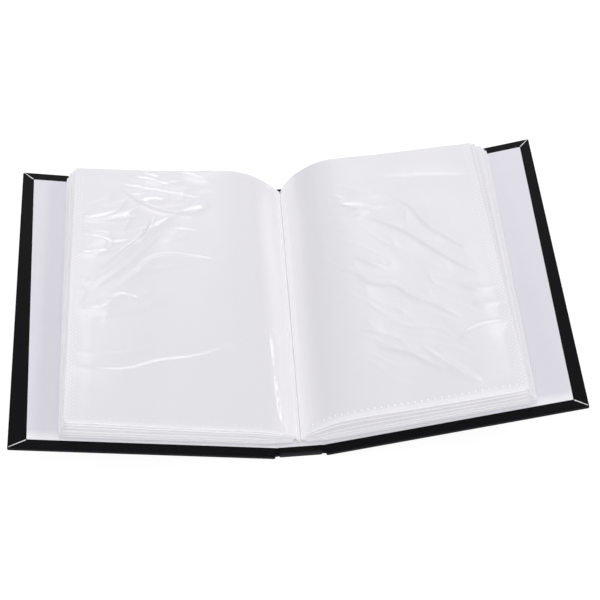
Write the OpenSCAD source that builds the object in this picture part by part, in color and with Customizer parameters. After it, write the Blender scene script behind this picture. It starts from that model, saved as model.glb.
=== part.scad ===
// Pocket photo album, lying open in a shallow V with its spine flat on the table.
// Case of three covered boards, white linings, and see-through pocket leaves bound at the spine.
// Origin: centre of the spine's outer face. +X to the back cover, +Y to the head, +Z up. Millimetres.

/* [Case] */

// Height of the boards, tail to head
cover_h = 165; // [120:1:240]
// Width of each cover, from its hinge axis to its fore-edge
cover_w = 124; // [90:1:180]
// Thickness of the board inside each cover and the spine
board_t = 2.2; // [1.2:0.1:3]
// Thickness of the covering material
covering_t = 0.3; // [0.2:0.05:0.6]
// Width of the covered spine
spine_w = 20.2; // [10:0.2:40]
// Distance from the spine's edge to each hinge axis
joint_gap = 1.5; // [1.5:0.1:4]
// How far each cover is tilted up from the table
cover_tilt = 12.2; // [0:0.1:40]

/* [Turn-ins and lining] */

// Width of the turned-in covering at head and tail
turn_in_w = 4.7; // [3:0.1:12]
// Inset of the front lining from the fore-edge, at the tail
front_inset_tail = 8.4; // [3:0.1:14]
// Inset of the front lining from the fore-edge, at the head
front_inset_head = 5.7; // [3:0.1:14]
// Inset of the back lining from the fore-edge, at the tail
back_inset_tail = 6.4; // [3:0.1:14]
// Inset of the back lining from the fore-edge, at the head
back_inset_head = 5.2; // [3:0.1:14]
// Thickness of the lining paper
lining_t = 0.25; // [0.1:0.05:0.5]
// Width of the slit between two turn-ins at a mitre
mitre_slit = 0.45; // [0.2:0.05:1]

/* [Leaves] */

// Pocket leaves on each side of the gutter
leaves_a_side = 10; // [2:1:10]
// Height of a leaf, tail to head
leaf_h = 154; // [100:1:220]
// How far the leaves are bound toward the head
leaf_shift = 1; // [-4:0.5:4]
// Distance of the lowest leaf's fore-edge from the hinge axis
leaf_reach = 101.5; // [80:0.5:160]
// How much each higher leaf falls short of the one under it
leaf_step_in = 0.33; // [0:0.01:1]
// Distance of the pockets' inner edge from the hinge axis
pocket_start = 16; // [10:0.5:30]
// Rise from one leaf to the next
leaf_pitch = 0.9; // [0.8:0.02:2]
// Thickness of one film
film_t = 0.15; // [0.05:0.01:0.3]
// Room between the two films of a pocket
pocket_gap = 0.3; // [0.2:0.05:1]
// Width of the welds that close a pocket
weld_w = 3; // [1:0.5:6]

/* [Uppermost leaves] */

// Slope of the uppermost front leaf
top_leaf_slope = 7.7; // [0:0.1:20]
// Where the uppermost front leaf bends over, from the gutter
top_bend_x = -28.5; // [-60:0.5:-10]
// Height of that bend above the table
top_bend_z = 23.7; // [10:0.1:40]
// Length of the uppermost front leaf's pocket
top_pocket_w = 75.5; // [50:0.5:120]
// How much lower that bend lies at the tail
top_tail_drop = 8.1; // [0:0.1:12]
// Slope of the uppermost front leaf at the tail
top_tail_slope = 13.5; // [0:0.1:20]
// Length of its pocket at the tail
top_tail_w = 78.5; // [50:0.5:120]
// How far it swells between gutter and bend, at the head
top_swell = 3; // [0:0.1:6]
// Slope of the uppermost back leaf
back_leaf_slope = 4.4; // [0:0.1:20]
// Where the uppermost back leaf bends over, from the gutter
back_bend_x = 25.5; // [10:0.5:60]
// Height of that bend above the table
back_bend_z = 27.3; // [10:0.1:40]
// Length of the uppermost back leaf's pocket
back_pocket_w = 76.5; // [50:0.5:120]
// How much lower that bend lies at the tail
back_tail_drop = 6.5; // [0:0.1:12]
// Slope of the uppermost back leaf at the tail
back_tail_slope = 10.6; // [0:0.1:20]
// Length of its pocket at the tail
back_tail_w = 78; // [50:0.5:120]
// How far it swells between gutter and bend, at the head
back_swell = 4.2; // [0:0.1:6]
// How far it swells at the tail
back_tail_swell = 2.6; // [0:0.1:6]
// Radius of these leaves' creases
crease_r = 0.35; // [0.2:0.05:0.6]

/* [Hidden] */

eps = 0.01;
case_t = board_t + 2 * covering_t;
half_t = case_t / 2;
axis_x = spine_w / 2 + joint_gap;
axis_z = half_t;
bead_r = 0.8;
bead_play = 0.08;
lip_start = 0.2;
board_start = 3;
fit = 0.05;
leaf_t = 2 * film_t + pocket_gap;
first_leaf_v = half_t - covering_t + lining_t + 0.5;
binding_w = 9.6;
binding_top = 4;
root_pitch = 0.32;
root_first = 1.3;
crease_bead_h = 8;
bead_in = 0.1;

// Creases of the uppermost front leaf, which turns: at the gutter, and either side of the weld at the bend
gutter_crease = [0, binding_top + crease_r + fit];
margin_crease = gutter_crease + 2.2 * [cos(125), sin(125)];
fold_crease = [top_bend_x, top_bend_z];
weld_crease = fold_crease + weld_w * [cos(top_leaf_slope + 12), -sin(top_leaf_slope + 12)];

// Creases of the uppermost back leaf: at the gutter and at the bend
back_gutter_crease = [0.75, binding_top + crease_r + fit];
back_fold_crease = [back_bend_x, back_bend_z];

black = [0.08, 0.08, 0.1];
board_grey = [0.62, 0.58, 0.52];
lining_white = [0.87, 0.86, 0.92];
film_white = [0.9, 0.89, 0.92];
glue_white = [0.92, 0.91, 0.86];

// Steps up the height of a sagging leaf, as shares of it
leaf_rows = [0, 0.25, 0.5, 0.75, 1];

// A point part of the way from one point to another
function between(a, b, k) = a + k * (b - a);

// The point at some distance from a point, at a slope
function out_from(p, slope, d) = p + d * [cos(slope), sin(slope)];

// The middle of a line, pushed out square to it
function swollen(a, b, swell) = between(a, b, 0.5) + swell * [a[1] - b[1], b[0] - a[0]] / norm(b - a);

function across_of(p) = [abs(p[0]), p[1]];

// Height of leaf number i above the board's middle plane, counted from 1 at the board
function leaf_v(i) = first_leaf_v + (i - 1) * leaf_pitch;
function leaf_end(i) = leaf_reach - (i - 1) * leaf_step_in;

// World place of a point given along a cover and square to it, on the back side
function on_back(s, v) = [
    axis_x + s * cos(cover_tilt) - v * sin(cover_tilt),
    axis_z + s * sin(cover_tilt) + v * cos(cover_tilt)
];

// A box given by its two corners
module block(low, high) {
    translate(low) cube(high - low);
}

// A shape drawn in X and Z, drawn out along Y about the middle of the leaf
module drawn_along_y(length, shift = 0) {
    translate([0, shift + length / 2, 0]) rotate([90, 0, 0]) linear_extrude(height = length) children();
}

// A round bead along Y
module bead(at, r, length, shift = 0) {
    translate([at[0], shift, at[1]]) rotate([90, 0, 0]) cylinder(r = r, h = length, center = true, $fn = 32);
}

// Places what is drawn along +X and +Z of a cover on the back side or the front side
module on_cover(front) {
    mirror([front ? 1 : 0, 0, 0]) translate([axis_x, 0, axis_z]) rotate([0, -cover_tilt, 0]) children();
}

// The window that the turn-ins leave for the lining, grown by a margin
module lining_outline(inset_tail, inset_head, grow) {
    y = cover_h / 2 - turn_in_w + grow;
    polygon([
        [board_start, -y], [cover_w - inset_tail + grow, -y],
        [cover_w - inset_head + grow, y], [board_start, y]
    ]);
}

// A slit from the cover's corner to the lining's corner
module mitre(inset, sign) {
    run = [inset, sign * turn_in_w];
    long = norm(run);
    translate([cover_w, -sign * cover_h / 2, half_t - covering_t - eps])
        rotate([0, 0, atan2(sign * turn_in_w, -inset)])
            block([-1, -mitre_slit / 2, 0], [long + 0.2, mitre_slit / 2, covering_t + 1]);
}

// Covering of one cover: outer skin, three edges, three turn-ins and the lip that rides the joint
module covering(inset_tail, inset_head) {
    y = cover_h / 2;
    difference() {
        block([lip_start, -y, -half_t], [cover_w, y, half_t]);
        block(
            [board_start, -y + covering_t, -half_t + covering_t],
            [cover_w - covering_t, y - covering_t, half_t - covering_t]
        );
        translate([0, 0, half_t - covering_t - eps])
            linear_extrude(height = covering_t + 1) lining_outline(inset_tail, inset_head, 0);
        mitre(inset_tail, 1);
        mitre(inset_head, -1);
        bead([0, 0], bead_r + bead_play, cover_h + 2);
    }
}

module board() {
    y = cover_h / 2 - covering_t;
    block([board_start, -y, -board_t / 2], [cover_w - covering_t, y, board_t / 2]);
}

module lining(inset_tail, inset_head) {
    translate([0, 0, board_t / 2]) linear_extrude(height = lining_t)
        lining_outline(inset_tail, inset_head, -fit);
}

// The creased strip between the spine and a cover, rolled to a bead on the hinge axis
module joint(front) {
    y = cover_h / 2;
    mirror([front ? 1 : 0, 0, 0]) {
        bead([axis_x, axis_z], bead_r, cover_h);
        difference() {
            block(
                [spine_w / 2, -y, axis_z - covering_t / 2],
                [axis_x, y, axis_z + covering_t / 2]
            );
            bead([axis_x, axis_z], bead_r - 0.1, cover_h + 2);
        }
    }
}

// Two films closed at the fore-edge, at the tail and beside the gutter, open at the head
module pocket(start, finish) {
    low = -leaf_h / 2 + leaf_shift;
    high = leaf_h / 2 + leaf_shift;
    under = film_t + eps;
    over = film_t + pocket_gap - eps;
    block([start, low, 0], [finish, high, film_t]);
    block([start, low, film_t + pocket_gap], [finish, high, leaf_t]);
    block([start, low, under], [start + weld_w, high, over]);
    block([finish - weld_w, low, under], [finish, high, over]);
    block([start + weld_w + fit, low, under], [finish - weld_w - fit, low + weld_w, over]);
}

module leaf(front, i) {
    color(film_white) on_cover(front) translate([0, 0, leaf_v(i)]) pocket(pocket_start, leaf_end(i));
}

// Film between the binding and the pocket of leaf number i
module margin(front, i) {
    root_x = root_first + (leaves_a_side - i) * root_pitch;
    tip = on_back(pocket_start - 0.35, leaf_v(i) + leaf_t / 2);
    run = tip - [root_x, binding_top];
    across = film_t * [-run[1], run[0]] / norm(run);
    mirror([front ? 1 : 0, 0, 0]) drawn_along_y(leaf_h, leaf_shift) polygon([
        [root_x - film_t, binding_top], [root_x + film_t, binding_top],
        tip - across, tip + across
    ]);
}

// A strip between two creases, clear of both
module crease_strip(from, to, from_gap, to_gap, t) {
    run = to - from;
    along = run / norm(run);
    across = t / 2 * [-along[1], along[0]];
    drawn_along_y(leaf_h, leaf_shift) polygon([
        from + from_gap * along - across, to - to_gap * along - across,
        to - to_gap * along + across, from + from_gap * along + across
    ]);
}

// A film whose lines across run from one set of points at the tail to another at the head,
// drawn on the back side, lifted by a distance and thick along Z
module sagging_film(tail, head, rows, lift, t) {
    last = len(tail) - 1;
    top_row = len(rows) - 1;
    low_y = leaf_shift - leaf_h / 2;
    points = [
        for (k = rows) for (c = [0 : last]) for (side = [1, -1])
            let (p = between(tail[c], head[c], k)) [p[0], low_y + k * leaf_h, p[1] + lift + side * t / 2]
    ];
    function up(j, c) = 2 * (j * (last + 1) + c);
    function down(j, c) = up(j, c) + 1;
    polyhedron(points, concat(
        [for (c = [0 : last - 1]) each [
            [up(0, c), up(0, c + 1), down(0, c + 1), down(0, c)],
            [up(top_row, c + 1), up(top_row, c), down(top_row, c), down(top_row, c + 1)]
        ]],
        [for (j = [0 : top_row - 1]) for (c = [0 : last - 1]) each [
            [up(j, c), up(j + 1, c), up(j + 1, c + 1)], [up(j, c), up(j + 1, c + 1), up(j, c + 1)],
            [down(j, c), down(j, c + 1), down(j + 1, c + 1)], [down(j, c), down(j + 1, c + 1), down(j + 1, c)]
        ]],
        [for (j = [0 : top_row - 1]) each [
            [up(j + 1, 0), up(j, 0), down(j, 0), down(j + 1, 0)],
            [up(j, last), up(j + 1, last), down(j + 1, last), down(j, last)]
        ]]
    ));
}

// A pocket that sags toward the tail: films closed at the fore-edge, at the tail and beside the gutter, open at the head
module sagging_pocket(tail, head) {
    low = leaf_shift - leaf_h / 2;
    high = leaf_shift + leaf_h / 2;
    difference() {
        sagging_film(tail, head, leaf_rows, 0, leaf_t);
        intersection() {
            sagging_film(tail, head, leaf_rows, 0, pocket_gap);
            linear_extrude(height = 100) polygon([
                [tail[0][0] + weld_w, low + weld_w], [tail[1][0] - weld_w, low + weld_w],
                [head[1][0] - weld_w, high + 1], [head[0][0] + weld_w, high + 1]
            ]);
        }
    }
}

// A short round bead at the head end of a crease that sags
module head_bead(at) {
    bead(at, crease_r, crease_bead_h, leaf_shift + (leaf_h - crease_bead_h) / 2);
}

module spine_board() {
    y = cover_h / 2 - covering_t;
    color(board_grey) block(
        [-spine_w / 2 + covering_t, -y, covering_t], [spine_w / 2 - covering_t, y, covering_t + board_t]
    );
}

module spine_covering() {
    y = cover_h / 2;
    x = spine_w / 2;
    color(black) difference() {
        block([-x, -y, 0], [x, y, case_t]);
        block(
            [-x + covering_t, -y + covering_t, covering_t],
            [x - covering_t, y - covering_t, covering_t + board_t]
        );
        block([-x + covering_t, -y + turn_in_w, covering_t], [x - covering_t, y - turn_in_w, case_t + 1]);
    }
}

module spine_lining() {
    y = cover_h / 2 - turn_in_w - fit;
    x = spine_w / 2 - covering_t - fit;
    color(lining_white) block([-x, -y, covering_t + board_t], [x, y, covering_t + board_t + lining_t]);
}

module binding() {
    y = leaf_h / 2 - 1;
    color(glue_white) translate([0, leaf_shift, 0])
        block([-binding_w / 2, -y, covering_t + board_t + lining_t], [binding_w / 2, y, binding_top]);
}

module front_joint() {
    color(black) joint(true);
}

module back_joint() {
    color(black) joint(false);
}

module front_board() {
    color(board_grey) on_cover(true) board();
}

module back_board() {
    color(board_grey) on_cover(false) board();
}

module front_covering() {
    color(black) on_cover(true) covering(front_inset_tail, front_inset_head);
}

module back_covering() {
    color(black) on_cover(false) covering(back_inset_tail, back_inset_head);
}

module front_lining() {
    color(lining_white) on_cover(true) lining(front_inset_tail, front_inset_head);
}

module back_lining() {
    color(lining_white) on_cover(false) lining(back_inset_tail, back_inset_head);
}

module front_margins() {
    color(film_white) for (i = [1 : leaves_a_side - 1]) margin(true, i);
}

module back_margins() {
    color(film_white) for (i = [1 : leaves_a_side - 1]) margin(false, i);
}

// Uppermost front leaf, from the gutter to the fore-edge
module leaf_10_root() {
    color(film_white) {
        bead(gutter_crease, crease_r, leaf_h, leaf_shift);
        bead(margin_crease, crease_r, leaf_h, leaf_shift);
        crease_strip(gutter_crease, margin_crease, crease_r - 0.05, crease_r - 0.05, film_t * 2);
    }
}

module leaf_10_margin() {
    from = across_of(margin_crease);
    to = across_of(weld_crease);
    to_tail = to - [0, top_tail_drop];
    gap = crease_r + 0.1;
    head_bulge = swollen(from, to, top_swell);
    tail_bulge = swollen(from, to_tail, 0.3);
    color(film_white) mirror([1, 0, 0]) sagging_film(
        [between(from, tail_bulge, gap / norm(tail_bulge - from)), tail_bulge,
            between(to_tail, tail_bulge, gap / norm(tail_bulge - to_tail))],
        [between(from, head_bulge, gap / norm(head_bulge - from)), head_bulge,
            between(to, head_bulge, gap / norm(head_bulge - to))],
        leaf_rows, 0, film_t * 2
    );
}

module leaf_10_weld() {
    from = across_of(weld_crease);
    to = across_of(fold_crease);
    start = between(from, to, bead_in / weld_w);
    finish = between(to, from, bead_in / weld_w);
    drop = [0, top_tail_drop];
    color(film_white) {
        head_bead(weld_crease);
        head_bead(fold_crease);
        mirror([1, 0, 0]) sagging_film(
            [start - drop, finish - drop], [start, finish], [0, 1], 0, film_t * 2
        );
    }
}

module leaf_10() {
    head_start = across_of(fold_crease);
    tail_start = head_start - [0, top_tail_drop];
    gap = crease_r + 0.1;
    color(film_white) mirror([1, 0, 0]) sagging_pocket(
        [out_from(tail_start, top_tail_slope, gap), out_from(tail_start, top_tail_slope, top_tail_w)],
        [out_from(head_start, top_leaf_slope, gap), out_from(head_start, top_leaf_slope, top_pocket_w)]
    );
}

// Uppermost back leaf, from the gutter to the fore-edge
module leaf_11_margin() {
    start = back_gutter_crease + [bead_in, bead_in];
    finish = back_fold_crease - [bead_in, 0];
    tail_finish = finish - [0, back_tail_drop];
    color(film_white) {
        bead(back_gutter_crease, crease_r, leaf_h, leaf_shift);
        head_bead(back_fold_crease);
        sagging_film(
            [start, swollen(start, tail_finish, back_tail_swell), tail_finish],
            [start, swollen(start, finish, back_swell), finish],
            leaf_rows, 0, film_t * 2
        );
    }
}

module leaf_11() {
    tail_fold = back_fold_crease - [0, back_tail_drop];
    gap = crease_r + 0.1;
    color(film_white) sagging_pocket(
        [out_from(tail_fold, back_tail_slope, gap), out_from(tail_fold, back_tail_slope, back_tail_w)],
        [out_from(back_fold_crease, back_leaf_slope, gap), out_from(back_fold_crease, back_leaf_slope, back_pocket_w)]
    );
}

module leaf_01() { leaf(true, 1); }
module leaf_02() { leaf(true, 2); }
module leaf_03() { leaf(true, 3); }
module leaf_04() { leaf(true, 4); }
module leaf_05() { leaf(true, 5); }
module leaf_06() { leaf(true, 6); }
module leaf_07() { leaf(true, 7); }
module leaf_08() { leaf(true, 8); }
module leaf_09() { leaf(true, 9); }
module leaf_12() { leaf(false, 9); }
module leaf_13() { leaf(false, 8); }
module leaf_14() { leaf(false, 7); }
module leaf_15() { leaf(false, 6); }
module leaf_16() { leaf(false, 5); }
module leaf_17() { leaf(false, 4); }
module leaf_18() { leaf(false, 3); }
module leaf_19() { leaf(false, 2); }
module leaf_20() { leaf(false, 1); }

spine_board();
spine_covering();
spine_lining();
binding();
front_joint();
front_board();
front_covering();
front_lining();
front_margins();
leaf_01();
leaf_02();
leaf_03();
leaf_04();
leaf_05();
leaf_06();
leaf_07();
leaf_08();
leaf_09();
leaf_10_root();
leaf_10_margin();
leaf_10_weld();
leaf_10();
back_joint();
back_board();
back_covering();
back_lining();
back_margins();
leaf_11_margin();
leaf_11();
leaf_12();
leaf_13();
leaf_14();
leaf_15();
leaf_16();
leaf_17();
leaf_18();
leaf_19();
leaf_20();
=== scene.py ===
"""Pocket photo album, lying open: covered boards, white linings and film pocket leaves."""
import bisect
import logging
import math
from dataclasses import dataclass, field
from enum import Enum
from typing import Any, Callable, Iterable, Sequence

import bmesh
import bpy
from mathutils import Matrix, Vector, noise


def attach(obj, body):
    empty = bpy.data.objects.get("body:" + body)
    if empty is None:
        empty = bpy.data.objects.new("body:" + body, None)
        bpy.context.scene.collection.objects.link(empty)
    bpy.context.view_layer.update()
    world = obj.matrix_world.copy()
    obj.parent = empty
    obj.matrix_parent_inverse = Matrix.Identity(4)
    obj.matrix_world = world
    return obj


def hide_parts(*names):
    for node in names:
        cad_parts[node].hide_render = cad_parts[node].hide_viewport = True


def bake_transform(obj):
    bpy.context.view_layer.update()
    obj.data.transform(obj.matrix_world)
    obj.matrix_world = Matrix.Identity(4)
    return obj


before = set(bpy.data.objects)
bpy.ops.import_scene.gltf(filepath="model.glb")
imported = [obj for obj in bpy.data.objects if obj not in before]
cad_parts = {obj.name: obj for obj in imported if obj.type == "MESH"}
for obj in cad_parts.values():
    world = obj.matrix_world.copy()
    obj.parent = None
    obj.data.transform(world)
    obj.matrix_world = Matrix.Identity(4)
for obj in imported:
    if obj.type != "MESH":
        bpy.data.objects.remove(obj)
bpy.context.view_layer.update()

log = logging.getLogger("album")
MM = 0.001
SHARP = math.radians(40)
Point = tuple[float, float]
Triple = tuple[float, float, float]


class Side(Enum):
    """The half of the open album that a piece belongs to, as its sign along X."""

    FRONT = -1
    BACK = 1

    @property
    def word(self) -> str:
        """The side's name, as the nodes spell it."""
        return self.name.lower()


# Shading


@dataclass(frozen=True)
class Grain:
    """One noise: how fine it is, how much detail it has and how its axes are stretched."""

    scale: float
    detail: float
    stretch: Triple = (1.0, 1.0, 1.0)


class Shade:
    """A shader socket that takes part in ordinary Python sums."""

    def __init__(self, sheet: "NodeSheet", socket: bpy.types.NodeSocket) -> None:
        """Wraps an output socket of a sheet."""
        self.sheet = sheet
        self.socket = socket

    def _math(self, operation: str, first: Any, second: Any) -> "Shade":
        """The result of a new Math node on two values."""
        return self.sheet.add("ShaderNodeMath", {"operation": operation}, {0: first, 1: second})[0]

    def __add__(self, other: Any) -> "Shade":
        """Sum."""
        return self._math("ADD", self, other)

    def __radd__(self, other: Any) -> "Shade":
        """Sum, from the right."""
        return self._math("ADD", other, self)

    def __sub__(self, other: Any) -> "Shade":
        """Difference."""
        return self._math("SUBTRACT", self, other)

    def __rsub__(self, other: Any) -> "Shade":
        """Difference, from the right."""
        return self._math("SUBTRACT", other, self)

    def __mul__(self, other: Any) -> "Shade":
        """Product."""
        return self._math("MULTIPLY", self, other)

    def __rmul__(self, other: Any) -> "Shade":
        """Product, from the right."""
        return self._math("MULTIPLY", other, self)


class NodeSheet:
    """The node tree of a finish or of the sky."""

    def __init__(self, tree: bpy.types.NodeTree) -> None:
        """Empties a tree, to fill it anew."""
        self.tree = tree
        self.tree.nodes.clear()

    def add(self, kind: str, settings: dict[str, Any], sockets: dict[Any, Any]) -> list[Shade]:
        """Adds any node.

        Args:
            kind: the node's type.
            settings: its settings, set before its sockets.
            sockets: values or links by input name or number.

        Returns:
            The node's outputs, in order.
        """
        node = self.tree.nodes.new(kind)
        for key, value in settings.items():
            setattr(node, key, value)
        for key, value in sockets.items():
            if isinstance(value, Shade):
                self.tree.links.new(value.socket, node.inputs[key])
            else:
                node.inputs[key].default_value = value
        return [Shade(self, out) for out in node.outputs]

    def where(self, stretch: Triple = (1.0, 1.0, 1.0)) -> Shade:
        """Place on the piece in metres, from Object coordinates, stretched by a factor for each axis."""
        place = self.add("ShaderNodeTexCoord", {}, {})[3]
        return self.add("ShaderNodeMapping", {}, {"Vector": place, "Scale": stretch})[0]

    def axes(self) -> list[Shade]:
        """Place across the album, along its spine and upwards, in metres."""
        return self.add("ShaderNodeSeparateXYZ", {}, {"Vector": self.where()})

    def noise(self, grain: Grain) -> Shade:
        """Soft noise from 0 to 1."""
        sockets = {"Vector": self.where(grain.stretch), "Scale": grain.scale, "Detail": grain.detail}
        return self.add("ShaderNodeTexNoise", {}, sockets)[0]

    def size(self, value: Shade) -> Shade:
        """A value without its sign."""
        return self.add("ShaderNodeMath", {"operation": "ABSOLUTE"}, {0: value})[0]

    def ramp(self, value: Shade, none: float, full: float) -> Shade:
        """A rise from 0 to 1 as a value goes from one number to another."""
        return self.add("ShaderNodeMapRange", {}, {0: value, 1: none, 2: full, 3: 0.0, 4: 1.0})[0]

    def mix(self, factor: Any, first: Any, second: Any) -> Shade:
        """A colour between two colours, each of them three numbers or a socket."""
        first, second = (c if isinstance(c, Shade) else (*c, 1.0) for c in (first, second))
        return self.add("ShaderNodeMix", {"data_type": "RGBA"}, {0: factor, 6: first, 7: second})[2]

    def bump(self, height: Shade, strength: float, distance: float) -> Shade:
        """A normal that is roughened by a height."""
        sockets = {"Height": height, "Strength": strength, "Distance": distance}
        return self.add("ShaderNodeBump", {}, sockets)[0]


class FinishSheet(NodeSheet):
    """The node tree of a new material."""

    def __init__(self, name: str) -> None:
        """Makes the material.

        Args:
            name: the material's name.
        """
        self.material = bpy.data.materials.new(name)
        self.material.use_nodes = True
        super().__init__(self.material.node_tree)

    def finish(self, sockets: dict[str, Any]) -> bpy.types.Material:
        """Closes the sheet with one surface shader.

        Args:
            sockets: the shader's inputs.

        Returns:
            The material.
        """
        surface = self.add("ShaderNodeBsdfPrincipled", {}, sockets)[0]
        self.add("ShaderNodeOutputMaterial", {}, {"Surface": surface})
        return self.material


@dataclass(frozen=True)
class GrainedCovering:
    """Black covering paper, its fine grain along the spine, painted paler at the spine's two ends as painted
    light for the brighter light on those end faces.

    A band gives the places, in metres, where an effect begins and where it is full.
    """

    dark: Triple = (0.0013, 0.0013, 0.0018)
    light: Triple = (0.0042, 0.0042, 0.0055)
    painted_end_light: Triple = (0.022, 0.0215, 0.027)
    streaks: Grain = Grain(2600.0, 4.0, (1.0, 0.22, 1.0))
    patches: Grain = Grain(60.0, 2.0)
    patch_share: float = 0.3
    pore_scale: float = 1500.0
    pore_stretch: Triple = (1.0, 0.5, 1.0)
    pore_share: float = 0.5
    relief: float = 0.22
    relief_depth: float = 0.00012
    end_band: Point = (0.0805, 0.0811)
    spine_band: Point = (0.0102, 0.0092)
    least_end_light: float = 0.55
    rough: float = 0.46
    rough_more: float = 0.14
    shine: float = 0.08

    def make(self) -> bpy.types.Material:
        """Makes the covering's material.

        Returns:
            The material.
        """
        sheet = FinishSheet("grained_covering")
        streak = sheet.noise(self.streaks)
        grain = streak * (1 - self.patch_share) + sheet.noise(self.patches) * self.patch_share
        sockets = {"Vector": sheet.where(self.pore_stretch), "Scale": self.pore_scale}
        pores = sheet.add("ShaderNodeTexVoronoi", {"feature": "F1"}, sockets)[0]
        height = pores * self.pore_share + streak * (1 - self.pore_share)
        across, along = sheet.axes()[:2]
        # Painted light: the spine's two ends are painted paler, standing in for the light that falls on their
        # end faces.
        end_light_mask = sheet.ramp(sheet.size(along), *self.end_band)
        end_light_mask = end_light_mask * sheet.ramp(sheet.size(across), *self.spine_band)
        end_light_mask = end_light_mask * (self.least_end_light + (1 - self.least_end_light) * streak)
        return sheet.finish({
            "Base Color": sheet.mix(end_light_mask, sheet.mix(grain, self.dark, self.light), self.painted_end_light),
            "Roughness": self.rough + self.rough_more * grain,
            "Specular IOR Level": self.shine,
            "Normal": sheet.bump(height, self.relief, self.relief_depth),
        })


@dataclass(frozen=True)
class LiningPaper:
    """Smooth white paper with a slight violet cast, painted whiter beside the tail as painted light on the
    lit strip there.
    """

    pale: Triple = (0.795, 0.78, 0.835)
    deep: Triple = (0.755, 0.74, 0.795)
    painted_tail_light: Triple = (0.93, 0.92, 0.95)
    fibres: Grain = Grain(900.0, 5.0, (1.0, 0.6, 1.0))
    clouds: Grain = Grain(35.0, 2.0)
    fibre_share: float = 0.4
    relief: float = 0.12
    relief_depth: float = 0.00006
    tail_band: Point = (-0.0725, -0.0765)
    rough: float = 0.62
    rough_more: float = 0.1

    def make(self) -> bpy.types.Material:
        """Makes the lining's material.

        Returns:
            The material.
        """
        sheet = FinishSheet("lining_paper")
        # Painted light: the strip beside the tail is painted whiter, as if lit more than the rest of the
        # lining.
        tail_light_mask = sheet.ramp(sheet.axes()[1], *self.tail_band)
        fibre = sheet.noise(self.fibres)
        mottle = sheet.noise(self.clouds) * (1 - self.fibre_share) + fibre * self.fibre_share
        return sheet.finish({
            "Base Color": sheet.mix(tail_light_mask, sheet.mix(mottle, self.deep, self.pale), self.painted_tail_light),
            "Roughness": self.rough + self.rough_more * fibre,
            "Normal": sheet.bump(fibre, self.relief, self.relief_depth),
        })


@dataclass(frozen=True)
class PocketFilm:
    """Clear, slightly milky plastic film with a glossy, finely rippled face.

    Its glow stands in for light that passes through the stack, as shares of a cast: on the plain page, on
    what is lit beside the gutter and at the tail, and at the fore-edges.
    """

    cast: Triple = (0.97, 0.96, 1.0)
    pale: Triple = (0.805, 0.79, 0.815)
    deep: Triple = (0.77, 0.755, 0.78)
    clouds: Grain = Grain(28.0, 3.0)
    creases: Grain = Grain(160.0, 4.0, (1.0, 0.35, 1.0))
    ripples: Grain = Grain(700.0, 3.0)
    crease_share: float = 0.3
    ripple_share: float = 0.3
    relief: float = 0.1
    relief_depth: float = 0.0006
    rough: float = 0.2
    rough_more: float = 0.1
    gutter_rough: float = 0.07
    alpha: float = 0.9
    refraction: float = 1.49
    glow: float = 0.2
    plain_glow: float = 0.44
    edge_glow: float = 0.82
    fore_glow: float = 0.64
    lit_band: Point = (0.013, 0.0026)
    deep_band: Point = (0.0039, 0.00104)
    smooth_band: Point = (0.0221, 0.0156)
    tail_band: Point = (-0.0718, -0.0738)
    fore_band: Point = (0.1035, 0.1065)

    def make(self) -> bpy.types.Material:
        """Makes the film's material.

        Returns:
            The material.
        """
        sheet = FinishSheet("pocket_film")
        crease = sheet.noise(self.creases)
        ripple = sheet.noise(self.ripples)
        mottle = sheet.noise(self.clouds) * (1 - self.crease_share) + crease * self.crease_share
        height = crease * (1 - self.ripple_share) + ripple * self.ripple_share
        across, along = sheet.axes()[:2]
        off_gutter = sheet.size(across)
        sockets = {0: sheet.ramp(off_gutter, *self.lit_band), 1: sheet.ramp(along, *self.tail_band)}
        lit = sheet.add("ShaderNodeMath", {"operation": "MAXIMUM"}, sockets)[0]
        shares = (self.plain_glow, self.edge_glow, self.fore_glow)
        plain, edge, fore = (tuple(share * c for c in self.cast) for share in shares)
        in_gutter = sheet.ramp(off_gutter, *self.deep_band)
        glow = sheet.mix(in_gutter, sheet.mix(lit, plain, edge), self.cast)
        smooth = sheet.ramp(off_gutter, *self.smooth_band)
        return sheet.finish({
            "Base Color": sheet.mix(mottle, self.deep, self.pale),
            "Roughness": self.rough - (self.rough - self.gutter_rough) * smooth + self.rough_more * ripple,
            "Alpha": self.alpha,
            "IOR": self.refraction,
            "Emission Color": sheet.mix(sheet.ramp(off_gutter, *self.fore_band), glow, fore),
            "Emission Strength": self.glow,
            "Normal": sheet.bump(height, self.relief, self.relief_depth),
        })


@dataclass(frozen=True)
class MottledStock:
    """Stock whose colour, roughness and fine relief follow one noise; its sorts give the sizes."""

    name: str
    pale: Triple
    deep: Triple
    mottle: Grain
    rough: float
    rough_more: float
    relief: float
    relief_depth: float
    cast: Triple = (1.0, 1.0, 1.0)
    glow: float = 0.0

    def make(self) -> bpy.types.Material:
        """Makes the stock's material.

        Returns:
            The material.
        """
        sheet = FinishSheet(self.name)
        mottle = sheet.noise(self.mottle)
        return sheet.finish({
            "Base Color": sheet.mix(mottle, self.deep, self.pale),
            "Roughness": self.rough + self.rough_more * mottle,
            "Normal": sheet.bump(mottle, self.relief, self.relief_depth),
            "Emission Color": (*self.cast, 1.0),
            "Emission Strength": self.glow,
        })


@dataclass(frozen=True)
class WeldedFilm(MottledStock):
    """Film melted by the welding wheel: the weld dots and the rims at the tail."""

    name: str = "welded_film"
    pale: Triple = (0.90, 0.90, 0.91)
    deep: Triple = (0.84, 0.84, 0.85)
    mottle: Grain = Grain(1400.0, 2.0)
    rough: float = 0.24
    rough_more: float = 0.2
    relief: float = 0.2
    relief_depth: float = 0.0001
    cast: Triple = (0.97, 0.96, 1.0)
    # Painted light: a faint glow brightens the weld dots and the tail rims, though they are no lamp.
    glow: float = 0.1


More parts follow.
